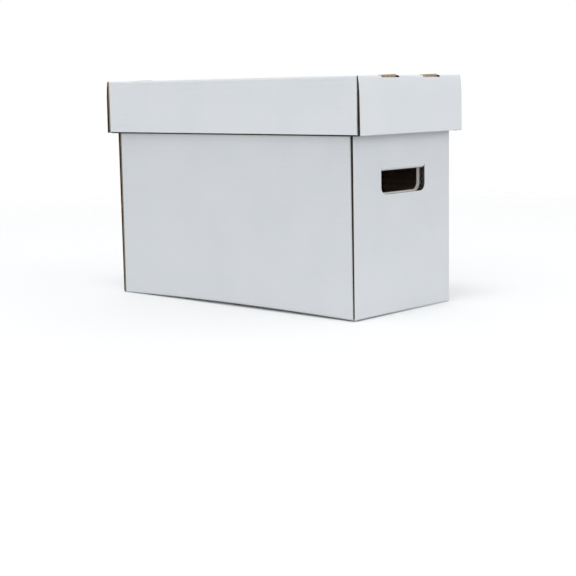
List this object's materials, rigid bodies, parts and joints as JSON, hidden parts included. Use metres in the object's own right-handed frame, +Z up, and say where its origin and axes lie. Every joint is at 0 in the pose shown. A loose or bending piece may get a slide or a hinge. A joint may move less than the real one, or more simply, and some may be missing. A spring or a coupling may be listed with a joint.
{
  "type": "archival box",
  "caption": "White-faced corrugated archival box: a deep tray with double end walls, die-cut hand holes with push-in flaps, and a lift-off lid with locking tabs.",
  "frame": {"origin": "on the floor under the middle of the box", "axes": "+X along the length to the right end wall, -Y to the front long wall, +Z up"},
  "size_m": [0.4398, 0.2032, 0.2885],
  "materials": {
    "tray_board": "matte",
    "lid_board": "matte",
    "handle_flap_board": "matte"
  },
  "bodies": {
    "tray": {"tray_bottom": "tray_board", "tray_front_left_corner_flap": "tray_board", "tray_front_panel": "tray_board", "tray_front_right_corner_flap": "tray_board", "tray_left_end_panel": "tray_board", "tray_left_lining": "tray_board", "tray_left_rim": "tray_board", "tray_rear_left_corner_flap": "tray_board", "tray_rear_panel": "tray_board", "tray_rear_right_corner_flap": "tray_board", "tray_right_end_panel": "tray_board", "tray_right_lining": "tray_board", "tray_right_rim": "tray_board"},
    "lid": {"lid_front_left_corner_flap": "lid_board", "lid_front_right_corner_flap": "lid_board", "lid_front_skirt": "lid_board", "lid_left_lining": "lid_board", "lid_left_rim": "lid_board", "lid_left_skirt": "lid_board", "lid_rear_left_corner_flap": "lid_board", "lid_rear_right_corner_flap": "lid_board", "lid_rear_skirt": "lid_board", "lid_right_lining": "lid_board", "lid_right_rim": "lid_board", "lid_right_skirt": "lid_board", "lid_top": "lid_board"},
    "left_handle_flap": {"left_handle_flap": "handle_flap_board"},
    "left_lining_handle_flap": {"left_lining_handle_flap": "handle_flap_board"},
    "right_handle_flap": {"right_handle_flap": "handle_flap_board"},
    "right_lining_handle_flap": {"right_lining_handle_flap": "handle_flap_board"}
  },
  "joints": [
    {"name": "lid_lift", "type": "slide", "parent": "tray", "child": "lid", "axis": [0, 0, 1], "range_m": [0, 0.2]},
    {"name": "left_handle_push", "type": "hinge", "parent": "tray", "child": "left_handle_flap", "pos_m": [-0.2005, 0, 0.1788], "axis": [0, -1, 0], "range_deg": [-90, 0]},
    {"name": "left_lining_handle_push", "type": "hinge", "parent": "tray", "child": "left_lining_handle_flap", "pos_m": [-0.1921, 0, 0.1798], "axis": [0, -1, 0], "range_deg": [-180, 0]},
    {"name": "right_handle_push", "type": "hinge", "parent": "tray", "child": "right_handle_flap", "pos_m": [0.2005, 0, 0.1788], "axis": [0, 1, 0], "range_deg": [-90, 0]},
    {"name": "right_lining_handle_push", "type": "hinge", "parent": "tray", "child": "right_lining_handle_flap", "pos_m": [0.1921, 0, 0.1798], "axis": [0, 1, 0], "range_deg": [-180, 0]}
  ],
  "couplings": [
    {"joint": "left_lining_handle_push", "follows": "left_handle_push", "ratio": 2},
    {"joint": "right_lining_handle_push", "follows": "right_handle_push", "ratio": 2}
  ]
}
